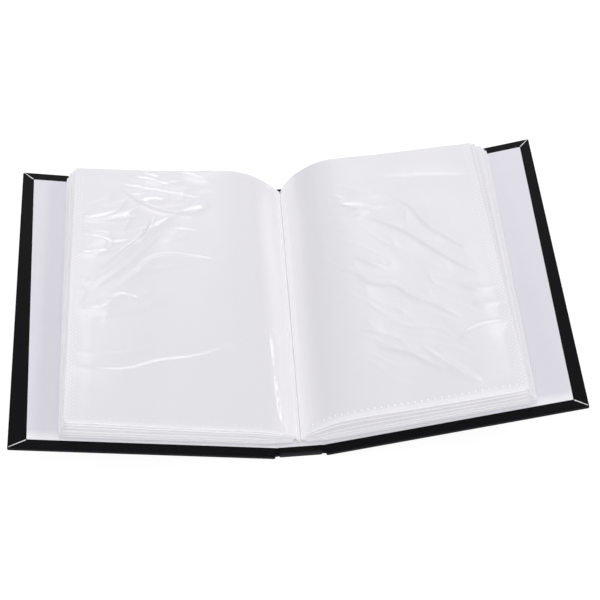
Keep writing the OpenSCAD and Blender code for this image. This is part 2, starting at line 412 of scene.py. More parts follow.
@dataclass(frozen=True)
class PaperCore(MottledStock):
    """White raw core of the covering, where it is cut at a mitre."""

    name: str = "paper_core"
    pale: Triple = (0.9, 0.9, 0.91)
    deep: Triple = (0.72, 0.72, 0.74)
    mottle: Grain = Grain(2200.0, 4.0)
    rough: float = 0.7
    rough_more: float = 0.2
    relief: float = 0.3
    relief_depth: float = 0.00008


@dataclass(frozen=True)
class BindingGlue(MottledStock):
    """Set white glue along the spine."""

    name: str = "binding_glue"
    pale: Triple = (0.84, 0.83, 0.79)
    deep: Triple = (0.7, 0.69, 0.64)
    mottle: Grain = Grain(300.0, 4.0, (1.0, 0.3, 1.0))
    rough: float = 0.3
    rough_more: float = 0.3
    relief: float = 0.4
    relief_depth: float = 0.0004


@dataclass(frozen=True)
class PaleFloor:
    """Plain white studio floor."""

    pale: Triple = (0.2, 0.2, 0.2)
    deep: Triple = (0.18, 0.18, 0.18)
    clouds: Grain = Grain(3.0, 2.0)
    rough: float = 0.9
    glow: float = 0.91

    def make(self) -> bpy.types.Material:
        """Makes the floor's material.

        Returns:
            The material.
        """
        sheet = FinishSheet("pale_floor")
        return sheet.finish({
            "Base Color": sheet.mix(sheet.noise(self.clouds), self.deep, self.pale),
            "Roughness": self.rough,
            "Emission Color": (1.0, 1.0, 1.0, 1.0),
            "Emission Strength": self.glow,
        })


@dataclass
class Finishes:
    """Every material of the album and its floor, made once."""

    covering: bpy.types.Material = field(default_factory=GrainedCovering().make)
    lining: bpy.types.Material = field(default_factory=LiningPaper().make)
    film: bpy.types.Material = field(default_factory=PocketFilm().make)
    weld: bpy.types.Material = field(default_factory=WeldedFilm().make)
    core: bpy.types.Material = field(default_factory=PaperCore().make)
    glue: bpy.types.Material = field(default_factory=BindingGlue().make)
    floor: bpy.types.Material = field(default_factory=PaleFloor().make)


# Mesh helpers


def make_piece(
    name: str, bm: bmesh.types.BMesh, material: bpy.types.Material, smooth: bool = True
) -> bpy.types.Object:
    """Turns a bmesh into a piece at the origin.

    Args:
        name: the piece's name.
        bm: its mesh, in metres in the album's frame; it is freed.
        material: its finish.
        smooth: whether faces shade smoothly.

    Returns:
        The new object.
    """
    bmesh.ops.recalc_face_normals(bm, faces=bm.faces)
    for face in bm.faces:
        face.smooth = smooth
    for edge in bm.edges:
        edge.smooth = edge.calc_face_angle(0.0) < SHARP
    mesh = bpy.data.meshes.new(name)
    bm.to_mesh(mesh)
    bm.free()
    mesh.materials.append(material)
    piece = bpy.data.objects.new(name, mesh)
    bpy.context.scene.collection.objects.link(piece)
    return piece


def sheet_grid(
    bm: bmesh.types.BMesh, across: int, along: int, place: Callable[[float, float], Vector], thickness: float
) -> None:
    """Adds a thin closed sheet to a bmesh.

    Args:
        bm: the bmesh that gets the sheet.
        across: number of strips in the first direction.
        along: number of strips in the second direction.
        place: gives a point of the middle surface for two values from 0 to 1.
        thickness: the sheet's thickness in metres, half of it on each side.
    """
    grid = bmesh.ops.create_grid(bm, x_segments=across, y_segments=along, size=0.5)
    verts = grid["verts"]
    for vert in verts:
        vert.co = place(vert.co.x + 0.5, vert.co.y + 0.5)
    faces = list(dict.fromkeys(face for vert in verts for face in vert.link_faces))
    bm.normal_update()
    if sum(face.normal.z for face in faces) < 0:
        bmesh.ops.reverse_faces(bm, faces=faces)
        bm.normal_update()
    lifts = [vert.normal * (thickness / 2) for vert in verts]
    for vert, lift in zip(verts, lifts):
        vert.co += lift
    bmesh.ops.solidify(bm, geom=faces, thickness=thickness)


def rounded_slab(low: Vector, high: Vector, radius: float) -> bmesh.types.BMesh:
    """A box with all its edges rounded.

    Args:
        low: lowest corner.
        high: highest corner.
        radius: how far the rounding reaches.

    Returns:
        A new bmesh.
    """
    bm = bmesh.new()
    size = high - low
    place = Matrix.Translation((low + high) / 2) @ Matrix.Diagonal((*size, 1.0))
    bmesh.ops.create_cube(bm, size=1.0, matrix=place)
    bmesh.ops.bevel(
        bm, geom=bm.edges[:], offset=radius, segments=4, profile=0.5, affect="EDGES", material=-1
    )
    return bm


def smooth_step(value: float, low: float, high: float) -> float:
    """A soft rise from 0 to 1 between two values."""
    share = min(max((value - low) / (high - low), 0.0), 1.0)
    return share * share * (3.0 - 2.0 * share)


class Profile:
    """A smooth curve through a few points, measured by its own length."""

    STEPS = 16

    def __init__(self, points: Sequence[Point]) -> None:
        """Lays the curve out in short steps.

        Args:
            points: two sizes of each point in millimetres, such as distance from the gutter and height.
        """
        self.places: list[Vector] = []
        ends = [2 * Vector(points[0]) - Vector(points[1])]
        ends += [Vector(p) for p in points]
        ends += [2 * Vector(points[-1]) - Vector(points[-2])]
        for i in range(1, len(ends) - 2):
            for k in range(self.STEPS):
                self.places.append(self._between(ends[i - 1:i + 3], k / self.STEPS))
        self.places.append(ends[-2])
        self.lengths = [0.0]
        for a, b in zip(self.places, self.places[1:]):
            self.lengths.append(self.lengths[-1] + (b - a).length)

    @staticmethod
    def _between(four: Sequence[Vector], t: float) -> Vector:
        """A point between the middle two of four points."""
        a, b, c, d = four
        bend = (2 * a - 5 * b + 4 * c - d) * t * t + (3 * b - a - 3 * c + d) * t * t * t
        return 0.5 * (2 * b + (c - a) * t + bend)

    def at(self, share: float) -> Vector:
        """Finds a point of the curve.

        Args:
            share: share of the curve's length, from its first point.

        Returns:
            The point in millimetres.
        """
        goal = share * self.lengths[-1]
        after = bisect.bisect_right(self.lengths, goal, 1, len(self.lengths) - 1)
        start, end = self.lengths[after - 1:after + 1]
        return self.places[after - 1].lerp(self.places[after], (goal - start) / (end - start))


# Case


@dataclass
class Case:
    """Covered boards, joints, linings and mitres; sizes in millimetres.

    Insets give the lining's distance from each cover's fore-edge, at the tail and at the head.
    """

    finishes: Finishes
    cover_w: float = 124.0
    cover_h: float = 165.0
    half_t: float = 1.4
    axis_x: float = 11.6
    axis_z: float = 1.4
    spine_w: float = 20.2
    tilt: float = math.radians(12.2)
    turn_in: float = 4.7
    hinge_clear: float = 0.3
    edge_radius: float = 0.75
    spine_radius: float = 0.6
    spine_short: float = 0.8
    joint_short: float = 1.3
    joint_t: float = 1.6
    lining_t: float = 0.2
    lining_from: float = 2.6
    lining_lift: float = 0.02
    joint_lining_t: float = 0.16
    spine_lining_x: float = 9.6
    spine_lining_z: float = 2.82
    mitre_t: float = 0.1
    mitre_in: float = 0.3
    mitre_half_w: float = 0.26
    mitre_taper: float = 0.45
    mitre_lift: float = 0.03
    mitre_drop: float = 0.12
    insets: dict[Side, Point] = field(
        default_factory=lambda: {Side.FRONT: (8.4, 5.7), Side.BACK: (6.4, 5.2)}
    )

    JOINT_CURVE = Profile([(9.3, 1.45), (10.3, 1.4), (11.4, 1.25), (12.5, 1.55), (13.3, 1.8)])
    JOINT_BLEND = ((10.3, 1.4), (12.9, 1.6))
    JOINT_LINING_START = ((9.0, 2.94), (10.0, 2.88), (11.2, 2.72))
    JOINT_LINING_END = ((1.2, 0.1), (3.4, 0.08))
    MITRE_ENDS = (0.55, 0.5)
    MITRE_DROP_BAND = (0.86, 1.0)

    def on_cover(self, side: Side, s: float, y: float, v: float) -> Vector:
        """The place of a point given on a cover.

        Args:
            side: which cover.
            s: distance from the hinge axis along the board, in millimetres.
            y: place along the spine.
            v: height over the board's middle plane.

        Returns:
            The point in metres.
        """
        x = self.axis_x + s * math.cos(self.tilt) - v * math.sin(self.tilt)
        z = self.axis_z + s * math.sin(self.tilt) + v * math.cos(self.tilt)
        return Vector((side.value * x, y, z)) * MM

    def cover_matrix(self, side: Side) -> Matrix:
        """Turns a slab drawn along +X of a cover into its place."""
        hinge = Matrix.Translation((self.axis_x * MM, 0, self.axis_z * MM))
        return Matrix.Diagonal((side.value, 1, 1, 1)) @ hinge @ Matrix.Rotation(-self.tilt, 4, "Y")

    def build_cover(self, side: Side) -> bpy.types.Object:
        """The covered board of one side.

        Args:
            side: which cover.

        Returns:
            The piece.
        """
        low = Vector((self.hinge_clear, -self.cover_h / 2, -self.half_t)) * MM
        high = Vector((self.cover_w, self.cover_h / 2, self.half_t)) * MM
        bm = rounded_slab(low, high, self.edge_radius * MM)
        bmesh.ops.transform(bm, matrix=self.cover_matrix(side), verts=bm.verts)
        piece = make_piece(f"{side.word}_cover_case", bm, self.finishes.covering)
        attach(piece, f"{side.word}_cover")
        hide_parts(f"{side.word}_covering", f"{side.word}_board")
        return piece

    def build_spine(self) -> bpy.types.Object:
        """The covered spine strip.

        Returns:
            The piece.
        """
        y_half = self.cover_h / 2 - self.spine_short
        low = Vector((-self.spine_w / 2, -y_half, 0)) * MM
        high = Vector((self.spine_w / 2, y_half, 2 * self.half_t)) * MM
        bm = rounded_slab(low, high, self.spine_radius * MM)
        piece = make_piece("spine_case", bm, self.finishes.covering)
        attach(piece, "spine")
        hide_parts("spine_covering", "spine_board")
        return piece

    @staticmethod
    def strip(side: Side, curve: Profile, y_half: float) -> Callable[[float, float], Vector]:
        """The middle surface of a strip that follows one curve all along a joint.

        Args:
            side: which joint.
            curve: the strip's section.
            y_half: half its length in millimetres.

        Returns:
            A place in metres for two values from 0 to 1.
        """

        def place(u: float, w: float) -> Vector:
            """A point of the strip's middle surface."""
            p = curve.at(u)
            return Vector((side.value * p.x, (2 * w - 1) * y_half, p.y)) * MM

        return place

    def build_joint(self, side: Side) -> bpy.types.Object:
        """The creased covering between the spine and a cover.

        Args:
            side: which joint.

        Returns:
            The piece.
        """
        bm = bmesh.new()
        place = self.strip(side, self.JOINT_CURVE, self.cover_h / 2 - self.joint_short)
        sheet_grid(bm, 14, 40, place, self.joint_t * MM)
        piece = make_piece(f"{side.word}_joint_crease", bm, self.finishes.covering)
        self._blend_joint(piece, side)
        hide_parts(f"{side.word}_joint")
        return piece

    def _blend_joint(self, piece: bpy.types.Object, side: Side) -> None:
        """Works out the ends of a strip's bend over a joint, from the spine to the cover, and bakes the
        strip's place into its mesh; no bend is made.
        """
        start, end = (Vector((side.value * x, 0, z)) * MM for x, z in self.JOINT_BLEND)
        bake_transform(piece)
        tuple(start)
        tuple(end)

    def build_lining(self, side: Side) -> bpy.types.Object:
        """The lining paper on one board.

        Args:
            side: which cover.

        Returns:
            The piece.
        """
        tail_end, head_end = (self.cover_w - inset for inset in self.insets[side])
        y_half = self.cover_h / 2 - self.turn_in

        def place(u: float, w: float) -> Vector:
            """A point of the lining's middle surface."""
            s = self.lining_from + u * (tail_end + (head_end - tail_end) * w - self.lining_from)
            return self.on_cover(side, s, (2 * w - 1) * y_half, self.half_t + self.lining_lift)

        bm = bmesh.new()
        sheet_grid(bm, 30, 40, place, self.lining_t * MM)
        piece = make_piece(f"{side.word}_lining_sheet", bm, self.finishes.lining, smooth=False)
        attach(piece, f"{side.word}_cover")
        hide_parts(f"{side.word}_lining")
        return piece

    def build_joint_lining(self, side: Side) -> bpy.types.Object:
        """The lining's strip that dips into a joint.

        Args:
            side: which joint.

        Returns:
            The piece.
        """
        ends = [self.on_cover(Side.BACK, s, 0, self.half_t + v) / MM for s, v in self.JOINT_LINING_END]
        curve = Profile([*self.JOINT_LINING_START, *((end.x, end.z) for end in ends)])
        bm = bmesh.new()
        place = self.strip(side, curve, self.cover_h / 2 - self.turn_in)
        sheet_grid(bm, 14, 30, place, self.joint_lining_t * MM)
        piece = make_piece(f"{side.word}_joint_lining", bm, self.finishes.lining)
        self._blend_joint(piece, side)
        return piece

    def build_spine_lining(self) -> bpy.types.Object:
        """The lining paper inside the spine.

        Returns:
            The piece.
        """
        y_half = self.cover_h / 2 - self.turn_in

        def place(u: float, w: float) -> Vector:
            """A point of the lining's middle surface."""
            return Vector(((2 * u - 1) * self.spine_lining_x, (2 * w - 1) * y_half, self.spine_lining_z)) * MM

        bm = bmesh.new()
        sheet_grid(bm, 8, 30, place, self.lining_t * MM)
        piece = make_piece("spine_lining_sheet", bm, self.finishes.lining, smooth=False)
        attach(piece, "spine")
        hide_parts("spine_lining")
        return piece

    def build_mitres(self, side: Side) -> bpy.types.Object:
        """The white cut edges between the turn-ins at a cover's two corners.

        Args:
            side: which cover.

        Returns:
            The piece.
        """
        bm = bmesh.new()
        lining_y = self.cover_h / 2 - self.turn_in + self.mitre_in
        outer_x, outer_y = self.cover_w - self.MITRE_ENDS[0], self.cover_h / 2 - self.MITRE_ENDS[1]
        for sign, inset in zip((-1, 1), self.insets[side]):
            inner = Vector((self.cover_w - inset + self.mitre_in, sign * lining_y))
            along = Vector((outer_x, sign * outer_y)) - inner
            across = Vector((-along.y, along.x)).normalized()

            def place(u: float, w: float) -> Vector:
                """A point of the sliver's middle surface."""
                half_w = self.mitre_half_w * (1.0 - self.mitre_taper * u)
                p = inner + along * u + across * half_w * (2 * w - 1)
                drop = self.mitre_drop * smooth_step(u, *self.MITRE_DROP_BAND)
                return self.on_cover(side, p.x, p.y, self.half_t + self.mitre_lift - drop)

            sheet_grid(bm, 12, 3, place, self.mitre_t * MM)
        piece = make_piece(f"{side.word}_mitre_edges", bm, self.finishes.core)
        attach(piece, f"{side.word}_cover")
        return piece

    def build(self) -> list[bpy.types.Object]:
        """Makes the whole case.

        Returns:
            Its pieces.
        """
        pieces = [self.build_spine(), self.build_spine_lining()]
        for side in Side:
            pieces += [
                self.build_cover(side), self.build_joint(side), self.build_lining(side),
                self.build_joint_lining(side), self.build_mitres(side),
            ]
        return pieces


# Leaves


@dataclass(frozen=True)
class Crease:
    """A fold line in a film, steep on one side and gentle on the other.

    Its points are shares of the leaf's width from the gutter and of its height from the tail. Its height and
    the reach of its two flanks are in millimetres.
    """

    line: tuple[Point, ...]
    height: float
    steep: float
    gentle: float
    flip: bool = False
    ripple: float = 0.0
    ripples: int = 7


@dataclass(frozen=True)
class Crumple:
    """A patch of small wrinkles in a film.

    Its place and reach are shares of the leaf, its turn is an angle, and its other sizes are in millimetres.
    """

    place: Point
    reach: Point
    turn: float
    height: float
    long: float = 20.0
    wide: float = 6.0
    sway: float = 4.0
    sway_scale: float = 0.05
    sharpness: int = 3
    faint: float = 0.02

    def rise(self, x: float, y: float, leaf_w: float, leaf_h: float) -> float:
        """Height of the wrinkles at a point of the leaf.

        Args:
            x: distance from the gutter in millimetres.
            y: distance from the tail in millimetres.
            leaf_w: the leaf's width in millimetres.
            leaf_h: the leaf's height in millimetres.

        Returns:
            The rise in millimetres.
        """
        off_x = (x / leaf_w - self.place[0]) / self.reach[0]
        off_y = (y / leaf_h - self.place[1]) / self.reach[1]
        mask = math.exp(-off_x * off_x - off_y * off_y)
        if mask < self.faint:
            return 0.0
        bend = self.sway * noise.noise(Vector((x * self.sway_scale, y * self.sway_scale, self.turn)))
        along = x * math.cos(self.turn) + y * math.sin(self.turn)
        across = y * math.cos(self.turn) - x * math.sin(self.turn) + bend
        ridge = 1.0 - 2.0 * abs(noise.noise(Vector((along / self.long, across / self.wide, self.turn))))
        return self.height * mask * max(ridge, 0.0) ** self.sharpness


class CreasePath:
    """A crease laid out on a leaf in millimetres."""

    STEPS = 4
    REACH = 2.2
    FAINT = 1e-4
    FADE_POWER = 0.8
    FLANK_POWER = 1.6
    END_WIDTH = 0.3

    def __init__(self, crease: Crease, leaf_w: float, leaf_h: float) -> None:
        """Lays the fold line out and finds the box that it can reach.

        Args:
            crease: the fold line and its sizes.
            leaf_w: the leaf's width in millimetres.
            leaf_h: the leaf's height in millimetres.
        """
        self.crease = crease
        curve = Profile([(u * leaf_w, w * leaf_h) for u, w in crease.line])
        steps = self.STEPS * (len(crease.line) - 1)
        self.points = [curve.at(i / steps) for i in range(steps + 1)]
        reach = self.REACH * max(crease.steep, crease.gentle)
        self.low = Vector((min(p.x for p in self.points) - reach, min(p.y for p in self.points) - reach))
        self.high = Vector((max(p.x for p in self.points) + reach, max(p.y for p in self.points) + reach))

    def rise(self, x: float, y: float) -> float:
        """Height of the fold at a point of the leaf.

        Args:
            x: distance from the gutter in millimetres.
            y: distance from the tail in millimetres.

        Returns:
            The rise in millimetres.
        """
        if not (self.low.x < x < self.high.x and self.low.y < y < self.high.y):
            return 0.0
        here = Vector((x, y))
        nearest, along, side = math.inf, 0.0, 1.0
        for i, (a, b) in enumerate(zip(self.points, self.points[1:])):
            run = b - a
            t = min(max((here - a).dot(run) / run.length_squared, 0.0), 1.0)
            off = here - a - run * t
            if off.length < nearest:
                nearest, along = off.length, (i + t) / (len(self.points) - 1)
                side = 1.0 if run.x * off.y - run.y * off.x > 0 else -1.0
        fade = math.sin(math.pi * along) ** self.FADE_POWER
        if fade < self.FAINT:
            return 0.0
        fade *= 1.0 + self.crease.ripple * math.sin(2 * math.pi * self.crease.ripples * along)
        wide = self.crease.gentle if (side > 0) != self.crease.flip else self.crease.steep
        share = nearest / (wide * (self.END_WIDTH + (1 - self.END_WIDTH) * fade))
        return self.crease.height * fade * math.exp(-share ** self.FLANK_POWER)


@dataclass(frozen=True)
class Stretch:
    """A part of a leaf between two shares of its width, and whether its weld dots are modelled."""

    label: str
    low: float = 0.0
    high: float = 1.0
    dotted: bool = True


@dataclass
class Leaf:
    """One pocket leaf, from the binding to its fore-edge; sizes in millimetres.

    A point of it is given as u, its share of the width from the gutter, and w, its share of the height from
    the tail. Its level is its place in the stack, from 0 on the board to 1.
    """

    side: Side
    number: int
    level: float
    finishes: Finishes
    creases: Sequence[Crease] = ()
    crumples: Sequence[Crumple] = ()
    fine: bool = False
    shift: float = 0.0
    reach: float = 1.0
    leaf_h: float = 154.0
    tail_y: float = -76.0
    film_t: float = 0.12
    closed_gap: float = 0.04
    open_gap: float = 0.4
    least_room: float = 0.55
    pocket_from: float = 0.2
    weld: float = 5.0
    droop: float = 0.9
    droop_reach: float = 9.0
    bead: float = 0.28
    bead_from: float = 0.06
    dot_pitch: float = 3.1
    fine_pitch: float = 2.1
    dots_in: float = 2.2
    gutter_dots_in: float = 5.4
    dots_from: float = 6.0
    fore_dots_from: float = 4.0

    FRONT_STACK = Profile([(1.3, 5.7), (5, 7.2), (13, 10.6), (20.8, 13.7), (42.3, 18.9), (64.4, 24),
                           (86.1, 29.5), (106.5, 34.4)])
    # Sections of the uppermost leaf at its tail and at its head, and of the plain stack
    CURVES = {
        Side.FRONT: (
            FRONT_STACK,
            Profile([(1.3, 6.2), (4.8, 10.4), (10, 15.5), (14.5, 19.2), (20.5, 22.2), (27.3, 24.1),
                     (48.7, 26.2), (67.6, 28.4), (87.8, 31.5), (104.4, 34.1)]),
            FRONT_STACK,
        ),
        Side.BACK: (
            Profile([(0.75, 4.5), (3.5, 8), (9.6, 13.6), (23.9, 20.4), (55.7, 26), (82.1, 31),
                     (105.6, 35.8)]),
            Profile([(0.75, 4.5), (2.6, 9.4), (6.9, 15.8), (12, 20.8), (18, 24.7), (25, 27.4), (33, 28.3),
                     (54.7, 29.4), (76.7, 31.2), (91.3, 32.5), (100.4, 33.4)]),
            Profile([(1.2, 4.5), (4, 7.6), (10, 11.8), (24, 16.6), (55.7, 23.8), (82, 29.6), (105, 34.4)]),
        ),
    }
    BASE = Profile([(4.0, 4.15), (8, 4.3), (13.5, 4.75), (20, 6), (40, 10.2), (80, 18.8), (110.4, 25.3)])
    SHORT = {Side.FRONT: 2.0, Side.BACK: 1.0}
    DROOP_BAND = (0.05, 0.3)
    # Widths over which a pocket opens, beside the gutter, at the fore-edge and at the tail
    OPENING = (6.0, 7.0, 8.0)
    # Height, scales across and along, and seed of each slow wave of the film
    DRIFTS = ((0.3, 0.03, 0.022, 0.0), (0.1, 0.09, 0.06, 1.9))
    SEED_STEP = 3.7
    CALM_FORE = (0.5, 6.0)
    CALM_GUTTER = (1.0, 8.0)
    FINE_GRID = (200, 190)
    PLAIN_GRID = (48, 28)
    LEAST_STRIPS = 6
    BEAD_STEPS = 40
    BEAD_SIDES = 6
    DOTS_UP = {Side.FRONT: 2.9, Side.BACK: 3.3}
    FORE_DOTS = (1.0, 2.4, 3.8)
    FORE_DOTS_TO = 0.985
    GUTTER_DOTS_UP = (0.02, 0.94)
    # Half sizes of a weld dot, across, along and up
    FORE_DOT = (0.3, 0.42, 0.1)
    GUTTER_DOT = (0.35, 0.4, 0.12)
    TAIL_DOT = {Side.FRONT: (0.55, 0.35, 0.08), Side.BACK: (0.8, 0.45, 0.15)}

    def __post_init__(self) -> None:
        """Sets the tail back the more the higher the leaf lies, and lays the creases out."""
        self.tail_y += self.SHORT[self.side] * self.level
        self.leaf_h -= self.SHORT[self.side] * self.level
        self.paths = [CreasePath(c, self.width(), self.leaf_h) for c in self.creases]
        self.columns: dict[float, tuple[Vector, Vector]] = {}

    @property
    def name(self) -> str:
        """The leaf's node name."""
        return f"leaf_{self.number:02d}"

    def width(self) -> float:
        """The leaf's width along its curve, in millimetres."""
        return self.CURVES[self.side][1].lengths[-1]

    def column(self, u: float) -> tuple[Vector, Vector]:
        """A line across the leaf, from its tail to its head.

        Args:
            u: share of the width.

        Returns:
            The line's tail end and its lean towards the head.
        """
        if u not in self.columns:
            share = u * self.reach
            tail, head, flat = (curve.at(share) for curve in self.CURVES[self.side])
            base = self.BASE.at(share)
            bulge = self.level ** 3
            start = base + (flat - base) * self.level + (tail - flat) * bulge
            self.columns[u] = (start, (head - tail) * bulge)
        return self.columns[u]

    def spread(self, u: float, w: float) -> Vector:
        """A point of the smooth leaf.

        Args:
            u: share of the width.
            w: share of the height.

        Returns:
            The point in millimetres.
        """
        start, lean = self.column(u)
        near = max(1.0 - w * self.leaf_h / self.droop_reach, 0.0)
        droop = self.droop * self.level * near * near * smooth_step(u, *self.DROOP_BAND)
        y = self.tail_y + self.shift + self.leaf_h * w
        return Vector((self.side.value * (start.x + lean.x * w), y, start.y + lean.y * w - droop))

    def facing(self, u: float, w: float) -> Vector:
        """The way up from the smooth leaf.

        Args:
            u: share of the width.
            w: share of the height.

        Returns:
            A direction of length 1.
        """
        step = 0.004
        across = self.spread(min(u + step, 1), w) - self.spread(max(u - step, 0), w)
        along = self.spread(u, min(w + step, 1)) - self.spread(u, max(w - step, 0))
        up = across.cross(along).normalized()
        return up if up.z > 0 else -up

    def room(self, u: float, w: float) -> float:
        """How far the pocket is open: not at the welds, most at the head.

        Args:
            u: share of the width.
            w: share of the height.

        Returns:
            A share of the full opening.
        """
        x, y = u * self.width(), w * self.leaf_h
        first = self.pocket_from * self.width()
        by_gutter, by_fore, by_tail = self.OPENING
        inside = smooth_step(x, first, first + by_gutter)
        inside *= smooth_step(self.width() - x, self.weld, self.weld + by_fore)
        inside *= smooth_step(y, self.weld, self.weld + by_tail)
        return inside * (self.least_room + (1 - self.least_room) * w * w)

    def wave(self, u: float, w: float, sign: int) -> float:
        """How far a film's middle stands off the smooth leaf.

        Args:
            u: share of the width.
            w: share of the height.
            sign: 1 for the upper film and -1 for the lower.

        Returns:
            The height in millimetres.
        """
        x, y = u * self.width(), w * self.leaf_h
        first = self.number * self.SEED_STEP
        rise = 0.0
        for height, across, along, seed in self.DRIFTS:
            rise += height * noise.noise(Vector((x * across, y * along, first + seed)))
        if sign > 0:
            rise += sum(path.rise(x, y) for path in self.paths)
            rise += sum(c.rise(x, y, self.width(), self.leaf_h) for c in self.crumples)
        return rise * smooth_step(self.width() - x, *self.CALM_FORE) * smooth_step(x, *self.CALM_GUTTER)

    def film(self, u: float, w: float, sign: int) -> Vector:
        """A point of the upper or lower film.

        Args:
            u: share of the width.
            w: share of the height.
            sign: 1 for the upper film and -1 for the lower.

        Returns:
            The point in metres.
        """
        gap = self.closed_gap + self.open_gap * self.room(u, w)
        stand = self.wave(u, w, sign) + sign * (gap + self.film_t) / 2
        return (self.spread(u, w) + self.facing(u, w) * stand) * MM

    def films(self, part: Stretch) -> bmesh.types.BMesh:
        """Both films of a stretch, with the rim at the fore-edge.

        Args:
            part: the stretch.

        Returns:
            A new bmesh.
        """
        bm = bmesh.new()
        run = part.high - part.low
        for sign in (1, -1):
            counts = self.FINE_GRID if self.fine and sign > 0 else self.PLAIN_GRID
            across = max(int(counts[0] * run), self.LEAST_STRIPS)

            def place(u: float, w: float) -> Vector:
                """A point of the film's middle surface."""
                return self.film(part.low + u * run, w, sign)

            sheet_grid(bm, across, counts[1], place, self.film_t * MM)
        if part.high == 1.0:
            self.add_bead(bm, [(1.0, i / self.BEAD_STEPS) for i in range(self.BEAD_STEPS + 1)])
        return bm

    def dot_places(self) -> Iterable[Point]:
        """Finds the weld dots: columns at the fore-edge, a row at the tail, and one column by the gutter.

        Returns:
            Each dot's shares of the width and the height.
        """
        last_u = 1.0 - self.dots_in / self.width()
        tail_w = self.DOTS_UP[self.side] / self.leaf_h
        step_w = self.fine_pitch / self.leaf_h
        step_u = self.dot_pitch / self.width()
        for column, inset in enumerate(self.FORE_DOTS):
            for i in range(int((self.FORE_DOTS_TO - tail_w) / step_w) + 1):
                yield 1.0 - inset / self.width(), tail_w + (i + 0.5 * (column % 2)) * step_w
        for i in range(1, int((last_u - self.dots_from / self.width()) / step_u) + 1):
            yield last_u - i * step_u, tail_w
        if self.fine and self.side is Side.BACK:
            first_w, length_w = self.GUTTER_DOTS_UP
            for i in range(int(length_w / step_w)):
                yield self.gutter_dots_in / self.width(), first_w + i * step_w

    def dot_size(self, u: float) -> Triple:
        """Finds the size of a weld dot, which is boldest along the back leaves' tail.

        Args:
            u: the dot's share of the width.

        Returns:
            Its half sizes in millimetres.
        """
        if u > 1.0 - self.fore_dots_from / self.width():
            return self.FORE_DOT
        if u < self.dots_from / self.width():
            return self.GUTTER_DOT
        return self.TAIL_DOT[self.side]

    def add_dots(self, bm: bmesh.types.BMesh, part: Stretch) -> None:
        """Adds the weld dots of a stretch.

        Args:
            bm: the bmesh that gets them.
            part: the stretch.
        """
        for u, w in self.dot_places():
            if not part.low <= u < part.high:
                continue
            turn = self.facing(u, w).to_track_quat("Z", "Y").to_matrix().to_4x4()
            at = Matrix.Translation(self.film(u, w, 1)) @ turn
            size = Matrix.Diagonal((*(half * MM for half in self.dot_size(u)), 1.0))
            bmesh.ops.create_icosphere(bm, subdivisions=1, radius=1.0, matrix=at @ size)

    def add_bead(self, bm: bmesh.types.BMesh, places: Sequence[Point]) -> None:
        """Adds the rounded rim of melted film along an edge of the leaf.

        Args:
            bm: the bmesh that gets it.
            places: points along the edge, as shares of the width and the height.
        """
        points = [self.film(u, w, 1).lerp(self.film(u, w, -1), 0.5) for u, w in places]
        ups = [self.facing(u, w) for u, w in places]
        last = len(points) - 1
        grid = bmesh.ops.create_grid(bm, x_segments=last, y_segments=self.BEAD_SIDES, size=0.5)
        for vert in grid["verts"]:
            i = round((vert.co.x + 0.5) * last)
            angle = (vert.co.y + 0.5) * 2 * math.pi
            run = points[min(i + 1, last)] - points[max(i - 1, 0)]
            out = run.cross(ups[i]).normalized()
            radius = self.bead * MM if 0 < i < last else 0.0
            vert.co = points[i] + (ups[i] * math.sin(angle) + out * math.cos(angle)) * radius
        bmesh.ops.remove_doubles(bm, verts=grid["verts"], dist=1e-7)

    def welds(self, part: Stretch) -> bmesh.types.BMesh:
        """The tail's melted rim and the dots of a stretch.

        Args:
            part: the stretch.

        Returns:
            A new bmesh.
        """
        bm = bmesh.new()
        first = max(part.low, self.bead_from)
        run = part.high - first
        self.add_bead(bm, [(first + run * i / self.BEAD_STEPS, 0.0) for i in range(self.BEAD_STEPS + 1)])
        if part.dotted:
            self.add_dots(bm, part)
        return bm

    def pieces(self, part: Stretch) -> list[bpy.types.Object]:
        """The films and welds of a stretch.

        Args:
            part: the stretch.

        Returns:
            Two pieces that ride on nothing yet.
        """
        made = [
            make_piece(f"{self.name}_{part.label}", self.films(part), self.finishes.film),
            make_piece(f"{self.name}_{part.label}_welds", self.welds(part), self.finishes.weld),
        ]
        return made


